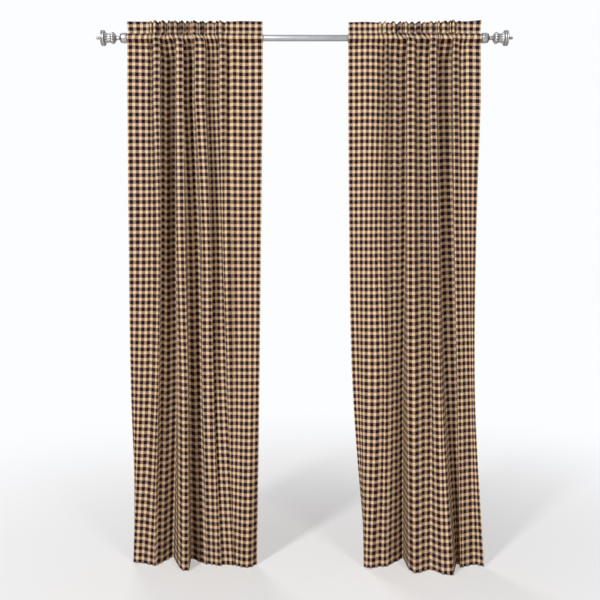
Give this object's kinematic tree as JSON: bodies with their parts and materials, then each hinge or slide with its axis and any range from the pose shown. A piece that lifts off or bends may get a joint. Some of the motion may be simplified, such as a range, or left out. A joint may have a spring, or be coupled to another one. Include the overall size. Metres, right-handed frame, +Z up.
{
  "type": "pair of curtain panels on a curtain rod",
  "caption": "Gathered rod-pocket curtain panels in a small two-colour woven check, hung from a slim metal rod with ribbed turned finials.",
  "frame": {"origin": "on the rod's axis, halfway between its two ends", "axes": "+X along the rod to the right as seen from the room, +Y away from the room, +Z up"},
  "size_m": [1.633, 0.1799, 2.14],
  "materials": {
    "cloth": "matt plain-woven cotton, navy and tan check with a repeat of about 27 mm",
    "steel": "satin",
    "pewter": "brushed, darker in the grooves"
  },
  "bodies": {
    "root": {"panel_left": "cloth", "panel_right": "cloth", "rod": "steel", "collar_left": "steel", "collar_right": "steel", "finial_left": "pewter", "finial_right": "pewter"}
  },
  "joints": []
}
